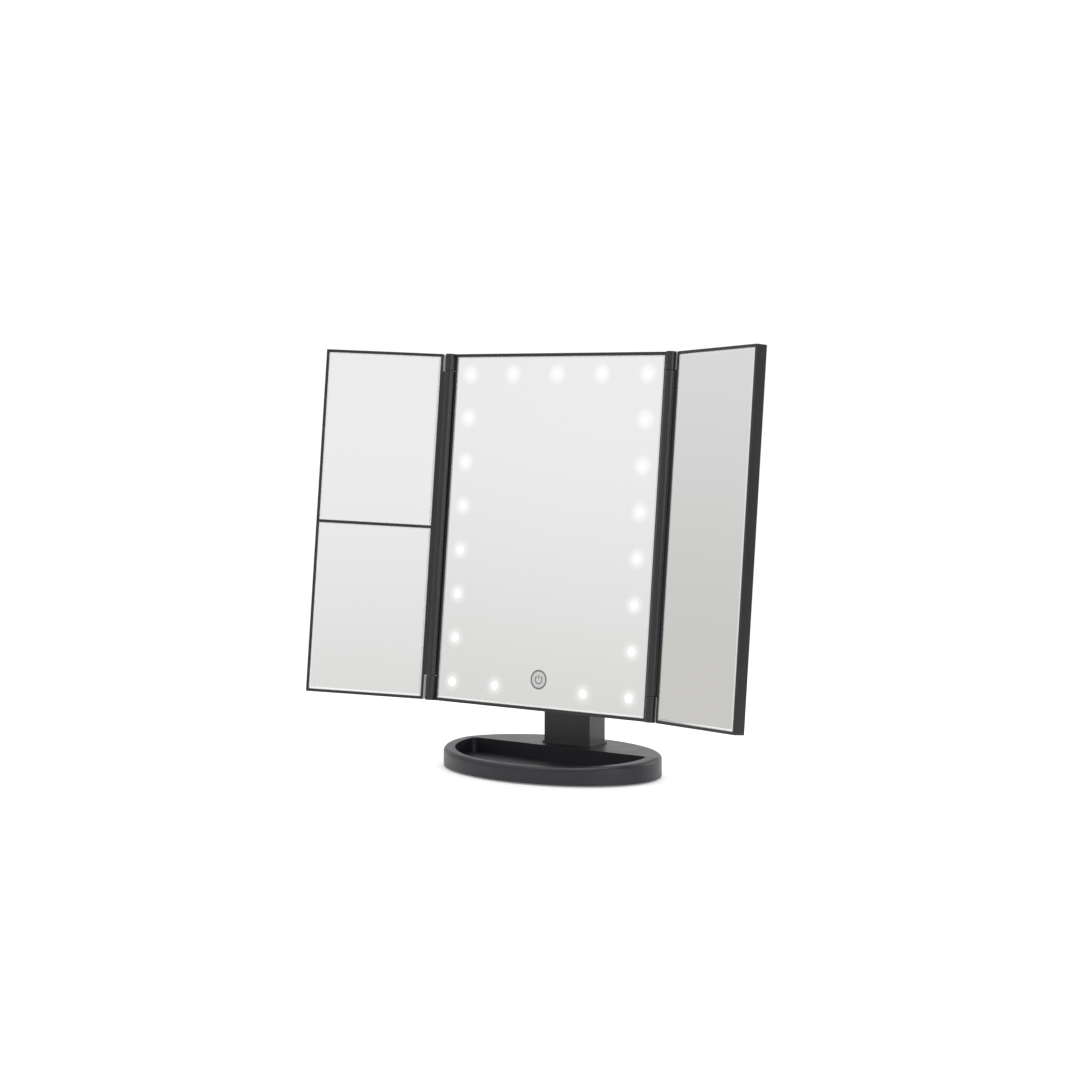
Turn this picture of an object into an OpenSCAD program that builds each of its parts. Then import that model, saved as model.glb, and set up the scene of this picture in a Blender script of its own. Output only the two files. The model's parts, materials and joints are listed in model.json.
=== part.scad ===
// Three-panel folding vanity mirror with a lit centre panel, on a tilting stand
// with an oval tray base. Front faces -Y. Origin: middle of the base pad's
// underside, on the table.

/* [Panels] */
// Height of all three panels
panel_h = 240; // [200:1:290]
// Distance from the middle to each wing's hinge line
hinge_x = 90; // [84:1:110]
// Depth of the centre panel
centre_d = 12; // [11:0.1:15]
// Depth of each wing
wing_d = 8; // [7.5:0.5:10]
// Width of the rims around the glass
rim = 2; // [1.5:0.1:3]
// Wall thickness of the moulded frames
wall = 1.8; // [1.5:0.1:2.2]
// Thickness of the mirror glass
glass_t = 3; // [2.5:0.1:3]
// Depth of the glass below the rims
glass_sink = 0.3; // [0.2:0.1:0.5]
// Width of the bevel round each glass's front
glass_edge = 1.4; // [0.6:0.1:3]
// Depth of that bevel at the glass's edge
glass_edge_d = 0.3; // [0.2:0.05:0.6]
// Width of the ledge that carries the glass
ledge = 3.6; // [3:0.1:4]
// Thickness of the back covers
cover_t = 2; // [1.6:0.1:2.2]
// Height of the bar's middle between the two left mirrors
divider_z = 119.5; // [80:0.5:140]

/* [Pose] */
// Lean of the panels away from upright
tilt = 6; // [0:0.5:20]
// Forward fold of the left wing from flat
left_fold = 25; // [0:1:90]
// Forward fold of the right wing from flat
right_fold = 23; // [0:1:90]

/* [Wing hinges] */
// Radius of the hinge barrels
barrel_r = 3.6; // [3:0.1:4.4]
// Distance of the hinge line in front of the panel faces
axis_out = 0.5; // [0.4:0.1:1]
// Radius of the hinge pins
pin_r = 1.25; // [1:0.05:1.5]
// Length of each pin inside the wing's barrel
pin_reach = 12; // [8:1:20]
// Length of the top hinge ear
ear_top = 12; // [8:1:25]
// Length of the bottom hinge ear
ear_bottom = 17; // [8:1:25]

/* [Lights] */
// Radius of each round light window
light_r = 3.5; // [2.5:0.1:4]
// Distance from the hinge line to the outer light columns
light_in_x = 17.7; // [15:0.1:24]
// Distance from the panel's top and bottom edges to the light rows
light_in_z = 14.1; // [13:0.1:20]
// Height of the touch key's middle above the bottom edge
touch_z = 20.8; // [20:0.1:26]
// Outer radius of the touch key's ring
touch_r = 6.6; // [6:0.1:8]

/* [Batteries] */
// Radius of an AA cell
cell_r = 7.1; // [7:0.05:7.25]
// Length of an AA cell
cell_l = 50.5; // [49:0.1:51]
// Height of the cells' lower ends above the panel's bottom edge
cell_z = 124; // [120:1:140]

/* [Stand] */
// Width of the neck
neck_w = 37.5; // [30:0.5:44]
// Depth of the neck
neck_d = 18.6; // [15:0.2:23]
// Distance of the neck's middle behind the base's middle
neck_y = 28; // [24:1:32]
// Height of the tilt axle above the table
axle_z = 137.4; // [134:0.1:160]
// Radius of the tilt axle
axle_r = 3; // [2:0.1:4]
// Height of the tilt axle above the panel's bottom edge
pivot_up = 99; // [90:1:102]
// Distance of the tilt axle behind the panel's front
pivot_back = 35; // [34:0.5:40]

/* [Base] */
// Length of the oval base
base_l = 162; // [150:1:190]
// Depth of the oval base
base_d = 112; // [108:1:130]
// Height of the base above its pad
base_h = 14; // [13:0.5:20]
// Thickness of the grip pad under the base
pad_t = 1; // [0.8:0.1:2]
// Length of the tray pocket's full oval
pocket_l = 144; // [120:1:146]
// Depth of the tray pocket's full oval
pocket_d = 102; // [90:1:103]
// Position of the pocket's straight back edge
pocket_back = 8.5; // [0:0.5:12]
// Radius of the pocket's two back corners
pocket_corner = 4; // [1:0.5:8]
// Drop of the tray's rim from the pocket's back edge to the front
rim_drop = 3.2; // [0:0.1:4]
// Rounding of the base's top edge
base_round = 3; // [1:0.1:4]

/* [Hidden] */
$fn = 96;

charcoal = [0.17, 0.17, 0.18];
black = [0.08, 0.08, 0.09];
silver = [0.80, 0.82, 0.84];
steel = [0.62, 0.63, 0.65];
green = [0.10, 0.35, 0.22];
copper = [0.80, 0.55, 0.30];
frosted = [1.00, 0.98, 0.94];

// Running clearance of pins and axle, and the gaps between moving pieces
run_gap = 0.05;
side_gap = 0.2;
groove_gap = 0.4;
cover_gap = 0.15;
eps = 0.01;

// Sides of the oval outlines
oval_n = 120;

// Panel depths, measured back from the front face
glass_back = glass_sink + glass_t;
ledge_back = glass_back + wall;

// Centre panel: half widths, measured from the middle
centre_glass_x = hinge_x - barrel_r - wall;
centre_side_x = hinge_x - 2.5;

// Back of the webs that join the barrels to the frames
web_back = barrel_r - axis_out - 0.6;

// Wings: distances from the hinge line
wing_in = barrel_r + wall;
wing_out = hinge_x - 0.5;

// Light grid: five columns, eight rows, the border only, the key in the gap
light_cols = 5;
light_rows = 8;
light_dx = 2 * (hinge_x - light_in_x) / (light_cols - 1);
light_dz = (panel_h - 2 * light_in_z) / (light_rows - 1);
chip_t = 1;
board_t = 1.2;
board_front = glass_back + chip_t;
board_back = board_front + board_t;
strip_w = 8;

// Control board and its socket
control_w = 74;
control_x = 13;
control_z = light_in_z + strip_w / 2;
control_h = 28;
socket_x = 42;
socket_z = 33;
socket_w = 7.8;
socket_h = 3;

// Battery box: four cells side by side, upright
cell_n = 4;
cell_pitch = 2 * cell_r + 0.4;
contact_t = 4;
cell_y = board_back + 3.5 + cell_r;
box_floor = cell_y - cell_r;
box_in_x = cell_n * cell_pitch / 2 + 0.6;
box_in_z0 = cell_z - contact_t;
box_in_z1 = cell_z + cell_l + contact_t;
box_wall = 2;
door_t = 2;
door_front = cell_y + cell_r + 0.4;
box_back = door_front + door_t;
door_lip = 2.5;

// Stand
neck_wall = 2.2;
neck_top_r = neck_d / 2;
base_top = pad_t + base_h;
cheek_t = 5;
washer_t = 0.8;
cheek_in = neck_w / 2 + washer_t;
cheek_r = 9;
nut_in = cheek_in + cheek_t + run_gap;
bracket_t = 3;
bracket_h = 32;
nut_t = 3;
spigot_w = 32;
spigot_d = 13;

// Screws
screw_r = 1.3;
screw_head_r = 2.6;
screw_head_t = 1.4;
screw_sink = 1;
cover_screw_x = centre_side_x - wall - 2.2;
cover_screw_z = [30, panel_h / 2, panel_h - 30];
base_wall = 2.5;
base_screw_spots = [[-58, 24], [58, 24], [-30, 40], [30, 40]];
foot_screw_x = 10;
bracket_screw_x = 12;

// A box from its low corner to its high corner
module block(low, high) {
    translate(low) cube(high - low);
}

// A cylinder along the depth, from y0 to y1
module rod_y(r, y0, y1) {
    translate([0, y0, 0]) rotate([-90, 0, 0]) cylinder(r = r, h = y1 - y0);
}

// A cylinder along the width, from x0 to x1
module rod_x(r, x0, x1) {
    translate([x0, 0, 0]) rotate([0, 90, 0]) cylinder(r = r, h = x1 - x0);
}

// A pan-head screw with a cross slot: head's back at the origin, shank along -Z
module screw(shank) {
    difference() {
        union() {
            cylinder(r = screw_head_r, h = screw_head_t);
            translate([0, 0, -shank]) cylinder(r = screw_r, h = shank + eps);
        }
        for (a = [0, 90])
            rotate([0, 0, a])
                translate([-1.6, -0.3, screw_head_t - 0.8]) cube([3.2, 0.6, 1]);
    }
}

// Points of an oval outline: half length a, half depth b
function oval_points(a, b) = [
    for (k = [0:oval_n - 1])
        [a * cos(360 * k / oval_n), b * sin(360 * k / oval_n)]
];

// A straight-sided oval plate
module oval_plate(a, b, h) {
    linear_extrude(h) polygon(oval_points(a, b));
}

// A glass plate with a shallow bevel round its front: from low to high in x and z
module bevelled_glass(x0, x1, z0, z1) {
    w = glass_edge;
    y0 = glass_sink;
    y1 = glass_back;
    yb = glass_sink + glass_edge_d;
    intersection() {
        translate([0, 0, z0]) linear_extrude(z1 - z0)
            polygon([[x0, y1], [x1, y1], [x1, yb], [x1 - w, y0], [x0 + w, y0], [x0, yb]]);
        translate([x0, 0, 0]) rotate([90, 0, 90]) linear_extrude(x1 - x0)
            polygon([[y1, z0], [y1, z1], [yb, z1], [y0, z1 - w], [y0, z0 + w], [yb, z0]]);
    }
}

// Places of the lights: the border of the grid, without the middle of the bottom row
function light_spots() = [
    for (i = [0:light_cols - 1], j = [0:light_rows - 1])
        if ((i == 0 || i == light_cols - 1 || j == 0 || j == light_rows - 1)
            && !(i == (light_cols - 1) / 2 && j == 0))
        [(i - (light_cols - 1) / 2) * light_dx, light_in_z + j * light_dz]
];

// Carries the head's pieces from the centre panel's own frame to the stand
module head() {
    translate([0, neck_y, axle_z])
        rotate([-tilt, 0, 0])
            translate([0, -pivot_back, -pivot_up])
                children();
}

// Carries a wing's pieces to its hinge line: side is -1 for left, 1 for right.
// A wing's own frame has its hinge line at x = 0 and its front face at y = 0.
module wing(side, fold) {
    head()
        translate([side * hinge_x, -axis_out, 0])
            rotate([0, 0, -side * fold])
                mirror([side < 0 ? 1 : 0, 0, 0])
                    translate([0, axis_out, 0])
                        children();
}

// ---- Base ----

module base_pad() {
    color(black) difference() {
        oval_plate(base_l / 2 - 7, base_d / 2 - 7, pad_t);
        for (p = base_screw_spots)
            translate([p[0], p[1], -1]) cylinder(r = screw_head_r + 0.4, h = pad_t + 2);
        for (s = [-1, 1])
            translate([s * foot_screw_x, neck_y, -1]) cylinder(r = screw_head_r + 0.4, h = pad_t + 2);
    }
}

module base_cover() {
    inset = base_wall + cover_gap;
    spots = concat(base_screw_spots, [for (s = [-1, 1]) [s * foot_screw_x, neck_y]]);
    color(charcoal) difference() {
        translate([0, 0, pad_t]) oval_plate(base_l / 2 - inset, base_d / 2 - inset, cover_t);
        for (p = spots) {
            translate([p[0], p[1], 0]) cylinder(r = screw_r, h = base_top);
            translate([p[0], p[1], 0]) cylinder(r = screw_head_r + 0.3, h = pad_t + screw_sink);
        }
    }
}

module base_screws() {
    color(steel) for (p = base_screw_spots)
        translate([p[0], p[1], pad_t + screw_sink]) mirror([0, 0, 1]) screw(cover_t + 5);
}

// One thin layer of the tray's block, inset from its outline, with its top at z:
// level behind the pocket's back edge, and falling to the front before it
module tray_layer(inset, z) {
    fall = atan(rim_drop / (base_d / 2 + pocket_back));
    a = base_l / 2 - inset;
    b = base_d / 2 - inset;
    translate([0, 0, z - eps]) intersection() {
        oval_plate(a, b, eps);
        block([-base_l, pocket_back, -1], [base_l, base_d, 1]);
    }
    translate([0, pocket_back, z - eps]) rotate([fall, 0, 0]) scale([1, 1 / cos(fall), 1])
        translate([0, -pocket_back, 0]) intersection() {
            oval_plate(a, b, eps);
            block([-base_l, -base_d, -1], [base_l, pocket_back, 1]);
        }
}

// The tray before it is hollowed, with its top edge rounded
module tray_block() {
    steps = 5;
    hull() {
        translate([0, 0, pad_t]) oval_plate(base_l / 2, base_d / 2, 1);
        for (k = [0:steps])
            tray_layer(base_round * (1 - cos(90 * k / steps)),
                       base_top - base_round * (1 - sin(90 * k / steps)));
    }
}

// Outline of the tray's pocket: an oval with a straight back and rounded corners
module pocket_outline() {
    offset(r = pocket_corner) offset(r = -pocket_corner) intersection() {
        polygon(oval_points(pocket_l / 2, pocket_d / 2));
        translate([-base_l, pocket_back - base_d]) square([2 * base_l, base_d]);
    }
}

module base_tray() {
    floor_z = pad_t + cover_t;
    floor_t = 2;
    color(charcoal) difference() {
        tray_block();
        // recess for the base cover
        translate([0, 0, pad_t - 1])
            oval_plate(base_l / 2 - base_wall, base_d / 2 - base_wall, cover_t + 1);
        translate([0, 0, floor_z + floor_t]) linear_extrude(base_h) pocket_outline();
        // hollow under the raised rear deck
        difference() {
            intersection() {
                translate([0, 0, pad_t])
                    oval_plate(base_l / 2 - base_wall, base_d / 2 - base_wall, base_h - base_wall);
                block([-base_l, pocket_back + 2, 0], [base_l, base_d, 2 * base_h]);
            }
            for (p = base_screw_spots)
                translate([p[0], p[1], floor_z]) cylinder(r = 3.5, h = base_h);
        }
        for (p = base_screw_spots)
            translate([p[0], p[1], 0]) cylinder(r = screw_r, h = pad_t + cover_t + 7);
        // opening for the neck's foot
        block([-spigot_w / 2, neck_y - spigot_d / 2, floor_z],
              [spigot_w / 2, neck_y + spigot_d / 2, 2 * base_h]);
    }
}

// ---- Neck ----

module neck_outline(r, h) {
    block([-neck_w / 2, neck_y - r, base_top], [neck_w / 2, neck_y + r, h]);
}

module neck_shell() {
    back_y = neck_y + neck_d / 2;
    inner_x = neck_w / 2 - neck_wall;
    color(charcoal) difference() {
        union() {
            neck_outline(neck_top_r, axle_z);
            translate([0, neck_y, axle_z]) rod_x(neck_top_r, -neck_w / 2, neck_w / 2);
            // narrow foot that spreads the neck on the deck
            block([-neck_w / 2 - 1, neck_y - neck_d / 2 - 1, base_top],
                  [neck_w / 2 + 1, back_y + 1, base_top + 1.5]);
            block([-spigot_w / 2, neck_y - spigot_d / 2, pad_t + cover_t],
                  [spigot_w / 2, neck_y + spigot_d / 2, base_top + 4]);
        }
        // hollow, open to the back
        block([-inner_x, neck_y - neck_d / 2 + neck_wall, base_top + 4],
              [inner_x, back_y - cover_t, axle_z - axle_r - 3]);
        block([-inner_x, back_y - cover_t - eps, base_top + 4],
              [inner_x, back_y + 2, axle_z - neck_top_r]);
        translate([0, neck_y, axle_z]) rod_x(axle_r, -neck_w, neck_w);
        for (s = [-1, 1])
            translate([s * foot_screw_x, neck_y, 0]) cylinder(r = screw_r, h = base_top);
    }
}

module neck_cover() {
    back_y = neck_y + neck_d / 2;
    low_z = base_top + 4;
    high_z = axle_z - neck_top_r;
    color(charcoal) difference() {
        union() {
            block([-neck_w / 2 + neck_wall, back_y - cover_t, low_z],
                  [neck_w / 2 - neck_wall, back_y, high_z]);
            for (z = [low_z + 12, high_z - 12])
                translate([0, 0, z]) rod_y(3.5, neck_y - neck_d / 2 + neck_wall, back_y - 1);
        }
        for (z = [low_z + 12, high_z - 12])
            translate([0, 0, z]) {
                rod_y(screw_r, back_y - 9, back_y + 1);
                rod_y(screw_head_r, back_y - screw_head_t, back_y + 1);
            }
    }
}

module neck_screws() {
    back_y = neck_y + neck_d / 2;
    color(steel) for (z = [base_top + 16, axle_z - neck_top_r - 12])
        translate([0, back_y - screw_head_t, z]) rotate([-90, 0, 0]) screw(7);
}

module neck_foot_screws() {
    color(steel) for (s = [-1, 1])
        translate([s * foot_screw_x, neck_y, pad_t + screw_sink]) mirror([0, 0, 1]) screw(cover_t + 8);
}

module tilt_axle() {
    color(steel) translate([0, neck_y, axle_z])
        rod_x(axle_r, -nut_in - nut_t, nut_in + nut_t);
}

module tilt_nuts() {
    color(black) for (s = [0, 1])
        mirror([s, 0, 0])
            translate([0, neck_y, axle_z]) difference() {
                rod_x(6, nut_in, nut_in + nut_t);
                rod_x(axle_r, cheek_in, nut_in + 2 * nut_t);
            }
}

module tilt_washers() {
    color(silver) for (s = [0, 1])
        mirror([s, 0, 0])
            translate([0, neck_y, axle_z]) difference() {
                rod_x(7.5, neck_w / 2, cheek_in - run_gap);
                rod_x(axle_r, 0, neck_w);
            }
}

// ---- Tilt bracket ----

module tilt_bracket() {
    back_y = centre_d;
    color(charcoal) head() difference() {
        union() {
            block([-cheek_in - cheek_t, back_y, pivot_up - bracket_h / 2],
                  [cheek_in + cheek_t, back_y + bracket_t, pivot_up + bracket_h / 2]);
            for (s = [0, 1])
                mirror([s, 0, 0]) {
                    block([cheek_in, back_y, pivot_up - cheek_r],
                          [cheek_in + cheek_t, pivot_back, pivot_up + cheek_r]);
                    translate([0, pivot_back, pivot_up]) rod_x(cheek_r, cheek_in, cheek_in + cheek_t);
                }
        }
        translate([0, pivot_back, pivot_up]) rod_x(axle_r + run_gap, -neck_w, neck_w);
        for (x = [-bracket_screw_x, bracket_screw_x], dz = [-10, 10])
            translate([x, 0, pivot_up + dz]) rod_y(screw_r, 0, 2 * centre_d);
    }
}

module bracket_screws() {
    color(steel) head()
        for (x = [-bracket_screw_x, bracket_screw_x], dz = [-10, 10])
            translate([x, centre_d + bracket_t, pivot_up + dz])
                rotate([-90, 0, 0]) screw(bracket_t + cover_t);
}

// ---- Centre panel ----

module centre_frame() {
    knuckle_low = ear_bottom - side_gap;
    knuckle_high = panel_h - ear_top + side_gap;
    color(charcoal) head() difference() {
        union() {
            block([-centre_side_x, 0, 0], [centre_side_x, centre_d, panel_h]);
            for (s = [0, 1])
                mirror([s, 0, 0]) {
                    translate([hinge_x, -axis_out, 0]) cylinder(r = barrel_r, h = panel_h);
                    block([centre_side_x - 3, 0, 0], [hinge_x, web_back, panel_h]);
                }
        }
        // room for each wing's barrel between the ears, and the pins' bores
        for (s = [0, 1])
            mirror([s, 0, 0]) {
                translate([hinge_x, -axis_out, knuckle_low])
                    cylinder(r = barrel_r + groove_gap, h = knuckle_high - knuckle_low);
                block([centre_side_x, -2 * barrel_r, knuckle_low],
                      [hinge_x + 1, centre_d, knuckle_high]);
                translate([hinge_x, -axis_out, -1]) cylinder(r = pin_r, h = panel_h + 2);
            }
        // seat of the glass, window behind it, and the open back
        block([-centre_glass_x, -1, rim], [centre_glass_x, glass_back, panel_h - rim]);
        block([-centre_glass_x + ledge, -1, rim + ledge],
              [centre_glass_x - ledge, centre_d + 1, panel_h - rim - ledge]);
        difference() {
            block([-centre_side_x + wall, ledge_back, wall],
                  [centre_side_x - wall, centre_d + 1, panel_h - wall]);
            for (s = [-1, 1], z = cover_screw_z)
                translate([s * (cover_screw_x), 0, z])
                    rod_y(2.8, 0, centre_d - cover_t);
        }
        for (s = [-1, 1], z = cover_screw_z)
            translate([s * (cover_screw_x), 0, z])
                rod_y(screw_r, ledge_back, centre_d + 1);
    }
}

module centre_mirror() {
    color(silver) head() difference() {
        bevelled_glass(-centre_glass_x, centre_glass_x, rim, panel_h - rim);
        for (p = light_spots())
            translate([p[0], 0, p[1]]) rod_y(light_r, -1, glass_back + 1);
        translate([0, 0, touch_z]) difference() {
            rod_y(touch_r, -1, glass_sink + 0.4);
            rod_y(touch_r - 1.2, -1, glass_sink + 0.4);
        }
    }
}

module light_windows() {
    color(frosted) head()
        for (p = light_spots())
            translate([p[0], 0, p[1]]) rod_y(light_r, glass_sink, glass_back);
}

module touch_ring() {
    color(black) head() translate([0, 0, touch_z]) difference() {
        rod_y(touch_r, glass_sink, glass_sink + 0.4);
        rod_y(touch_r - 1.2, 0, glass_back);
    }
}

module led_chips() {
    color(frosted) head()
        for (p = light_spots())
            translate([p[0], 0, p[1]])
                block([-1.75, glass_back, -1.4], [1.75, board_front, 1.4]);
}

module led_board() {
    edge_x = hinge_x - light_in_x;
    h = strip_w / 2;
    color(green) head() difference() {
        block([-edge_x - h, board_front, light_in_z - h],
              [edge_x + h, board_back, panel_h - light_in_z + h]);
        block([-edge_x + h, 0, light_in_z + h],
              [edge_x - h, centre_d, panel_h - light_in_z - h]);
    }
}

module touch_pad() {
    color(copper) head() translate([0, 0, touch_z])
        rod_y(touch_r - 1.5, glass_back, board_front);
}

module control_board() {
    x0 = control_x - control_w / 2;
    color(green) head() {
        block([x0, board_front, control_z], [x0 + control_w, board_back, control_z + control_h]);
        block([-6, board_back - eps, control_z + 10], [4, board_back + 1.6, control_z + 20]);
        block([14, board_back - eps, control_z + 6], [20, board_back + 2.4, control_z + 12]);
    }
}

module power_socket() {
    color(steel) head() difference() {
        block([socket_x - socket_w / 2, board_back, socket_z - socket_h / 2],
              [socket_x + socket_w / 2, centre_d - 0.4, socket_z + socket_h / 2]);
        difference() {
            block([socket_x - socket_w / 2 + 0.4, board_back + 1, socket_z - socket_h / 2 + 0.4],
                  [socket_x + socket_w / 2 - 0.4, centre_d, socket_z + socket_h / 2 - 0.4]);
            block([socket_x - 2.4, board_back, socket_z - 0.35],
                  [socket_x + 2.4, centre_d - 1.2, socket_z + 0.35]);
        }
    }
}

module wires() {
    color(black) head() for (x = [-9, 9])
        translate([x, board_back + 0.8, control_z + control_h - 6])
            cylinder(r = 0.8, h = box_in_z0 - control_z - control_h + 10, $fn = 24);
}

// ---- Centre panel's back ----

module back_cover() {
    plate_x = centre_side_x - wall - cover_gap;
    out_x = box_in_x + box_wall;
    z0 = box_in_z0 - box_wall;
    z1 = box_in_z1 + box_wall;
    color(charcoal) head() difference() {
        union() {
            block([-plate_x, centre_d - cover_t, wall + cover_gap],
                  [plate_x, centre_d, panel_h - wall - cover_gap]);
            block([-out_x, box_floor - 1.5, z0], [out_x, box_back, z1]);
        }
        block([-box_in_x, box_floor, box_in_z0], [box_in_x, box_back + 1, box_in_z1]);
        // seat of the door
        block([-box_in_x - 1, door_front, box_in_z0 - 1],
              [box_in_x + 1, box_back + 1, box_in_z1 + 1]);
        for (s = [-1, 1], z = cover_screw_z)
            translate([s * (cover_screw_x), 0, z]) rod_y(screw_r, 0, centre_d + 1);
        for (x = [-bracket_screw_x, bracket_screw_x], dz = [-10, 10])
            translate([x, 0, pivot_up + dz]) rod_y(screw_r, 0, centre_d + 1);
        // opening for the power socket
        block([socket_x - socket_w / 2 - 0.6, 0, socket_z - socket_h / 2 - 0.6],
              [socket_x + socket_w / 2 + 0.6, centre_d + 1, socket_z + socket_h / 2 + 0.6]);
    }
}

module back_screws() {
    color(steel) head() for (s = [-1, 1], z = cover_screw_z)
        translate([s * (cover_screw_x), centre_d, z]) rotate([-90, 0, 0]) screw(cover_t + 3);
}

module cell_contacts() {
    color(steel) head()
        for (i = [0:cell_n - 1]) {
            x = (i - (cell_n - 1) / 2) * cell_pitch;
            translate([x, cell_y, box_in_z0]) cylinder(r1 = 5, r2 = 3, h = contact_t);
            translate([x, cell_y, box_in_z1 - 0.5]) cylinder(r = 5.5, h = 0.5);
        }
}

module cells() {
    color(copper) head()
        for (i = [0:cell_n - 1])
            translate([(i - (cell_n - 1) / 2) * cell_pitch, cell_y, cell_z]) {
                cylinder(r = cell_r, h = cell_l);
                translate([0, 0, cell_l - eps]) cylinder(r = 2.7, h = contact_t - 0.5 + eps);
            }
}

module cell_door() {
    g = cover_gap;
    color(charcoal) head() difference() {
        block([-box_in_x - 1 + g, door_front, box_in_z0 - 1 + g],
              [box_in_x + 1 - g, box_back, box_in_z1 + 1 - g]);
        for (i = [0:3])
            translate([0, box_back - 0.6, box_in_z1 - 6 - 2.4 * i])
                block([-9, 0, 0], [9, 1, 1.2]);
    }
}

// ---- Wings ----

module wing_frame(bar) {
    knuckle_low = ear_bottom;
    knuckle_high = panel_h - ear_top;
    out_x = wing_out;
    difference() {
        union() {
            block([wing_in, 0, 0], [out_x, wing_d, panel_h]);
            translate([0, -axis_out, knuckle_low])
                cylinder(r = barrel_r, h = knuckle_high - knuckle_low);
            block([0, 0, knuckle_low], [wing_in + 1, web_back, knuckle_high]);
        }
        // seat of the glass, in one field or two
        difference() {
            block([wing_in + wall, -1, rim], [out_x - rim, glass_back, panel_h - rim]);
            if (bar)
                block([0, 0, divider_z - rim / 2], [2 * out_x, wing_d, divider_z + rim / 2]);
        }
        // window behind the glass
        difference() {
            block([wing_in + wall + ledge, -1, rim + ledge],
                  [out_x - rim - ledge, wing_d + 1, panel_h - rim - ledge]);
            if (bar)
                block([0, 0, divider_z - rim / 2 - ledge],
                      [2 * out_x, wing_d - cover_t, divider_z + rim / 2 + ledge]);
        }
        // seat of the back cover
        block([wing_in + wall, wing_d - cover_t, wall], [out_x - wall, wing_d + 1, panel_h - wall]);
        // bores of the hinge pins
        for (z = [knuckle_low - 1, knuckle_high - pin_reach - 0.5])
            translate([0, -axis_out, z]) cylinder(r = pin_r + run_gap, h = pin_reach + 1.5);
    }
}

module wing_cover() {
    g = cover_gap;
    block([wing_in + wall + g, wing_d - cover_t, wall + g],
          [wing_out - wall - g, wing_d, panel_h - wall - g]);
}

// Pins at one hinge: the outer part sits in the ear, the inner part in the barrel
module hinge_pins() {
    translate([0, -axis_out, 0.6]) cylinder(r = pin_r, h = ear_bottom + pin_reach - 0.6);
    translate([0, -axis_out, panel_h - ear_top - pin_reach])
        cylinder(r = pin_r, h = ear_top + pin_reach - 0.6);
}

module left_hinge_pins() {
    color(steel) wing(-1, 0) hinge_pins();
}

module right_hinge_pins() {
    color(steel) wing(1, 0) hinge_pins();
}

module left_frame() {
    color(charcoal) wing(-1, left_fold) wing_frame(true);
}

module left_upper_mirror() {
    color(silver) wing(-1, left_fold)
        bevelled_glass(wing_in + wall, wing_out - rim, divider_z + rim / 2, panel_h - rim);
}

module left_lower_mirror() {
    color(silver) wing(-1, left_fold)
        bevelled_glass(wing_in + wall, wing_out - rim, rim, divider_z - rim / 2);
}

module left_cover() {
    color(charcoal) wing(-1, left_fold) wing_cover();
}

module right_frame() {
    color(charcoal) wing(1, right_fold) wing_frame(false);
}

module right_mirror() {
    color(silver) wing(1, right_fold)
        bevelled_glass(wing_in + wall, wing_out - rim, rim, panel_h - rim);
}

module right_cover() {
    color(charcoal) wing(1, right_fold) wing_cover();
}

base_pad();
base_cover();
base_screws();
base_tray();
neck_shell();
neck_cover();
neck_screws();
neck_foot_screws();
tilt_axle();
tilt_nuts();
tilt_washers();
tilt_bracket();
bracket_screws();
centre_frame();
centre_mirror();
light_windows();
touch_ring();
led_chips();
led_board();
touch_pad();
control_board();
power_socket();
wires();
back_cover();
back_screws();
cell_contacts();
cells();
cell_door();
left_hinge_pins();
right_hinge_pins();
left_frame();
left_upper_mirror();
left_lower_mirror();
left_cover();
right_frame();
right_mirror();
right_cover();
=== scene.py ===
import json
from math import cos, pi, radians, sin

import bmesh
import bpy
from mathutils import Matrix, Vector


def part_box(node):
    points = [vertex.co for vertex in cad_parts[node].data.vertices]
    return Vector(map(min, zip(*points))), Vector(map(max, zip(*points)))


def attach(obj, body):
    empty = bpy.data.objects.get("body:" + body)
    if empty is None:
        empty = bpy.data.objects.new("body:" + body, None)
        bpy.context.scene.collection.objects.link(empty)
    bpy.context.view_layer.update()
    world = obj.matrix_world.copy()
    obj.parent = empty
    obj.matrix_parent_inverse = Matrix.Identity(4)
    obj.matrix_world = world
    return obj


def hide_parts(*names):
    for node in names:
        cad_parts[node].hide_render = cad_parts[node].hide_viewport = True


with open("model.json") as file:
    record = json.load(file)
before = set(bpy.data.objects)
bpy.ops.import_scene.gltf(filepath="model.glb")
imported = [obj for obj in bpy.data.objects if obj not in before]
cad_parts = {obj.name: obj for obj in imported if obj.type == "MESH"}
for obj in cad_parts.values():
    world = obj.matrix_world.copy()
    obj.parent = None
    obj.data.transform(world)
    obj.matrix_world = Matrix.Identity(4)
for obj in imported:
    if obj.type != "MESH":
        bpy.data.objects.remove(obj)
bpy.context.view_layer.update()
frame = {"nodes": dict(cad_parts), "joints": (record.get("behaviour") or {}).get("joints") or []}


# ---- Camera ----
# A portrait lens well back from the mirror, a little above the middle of the
# panels and round to its right, so that the right wing is seen nearly edge on.

camera_round = radians(35.316)
camera_above = radians(3.904)
camera_away = 1.4658
camera_aim = Vector((-0.0056, -0.0051, 0.1561))
lens_length = 72.83
film_width = 36
sight_limit = 50

toward_camera = Vector((
    sin(camera_round) * cos(camera_above),
    -cos(camera_round) * cos(camera_above),
    sin(camera_above),
))
lens = bpy.data.cameras.new("portrait_lens")
lens.sensor_width = film_width
lens.lens = lens_length
lens.clip_end = sight_limit
camera = bpy.data.objects.new("camera", lens)
camera.location = camera_aim + toward_camera * camera_away
camera.rotation_euler = (-toward_camera).to_track_quat("-Z", "Y").to_euler()
bpy.context.scene.collection.objects.link(camera)
bpy.context.scene.camera = camera
bpy.context.scene.view_settings.view_transform = "Standard"


# ---- Room and table ----
# A white table that runs out into a white room. The room is a soft grey in
# front of the mirror and to its sides, which is what the glass and the
# charcoal plastic show, and bright white behind it.

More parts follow.
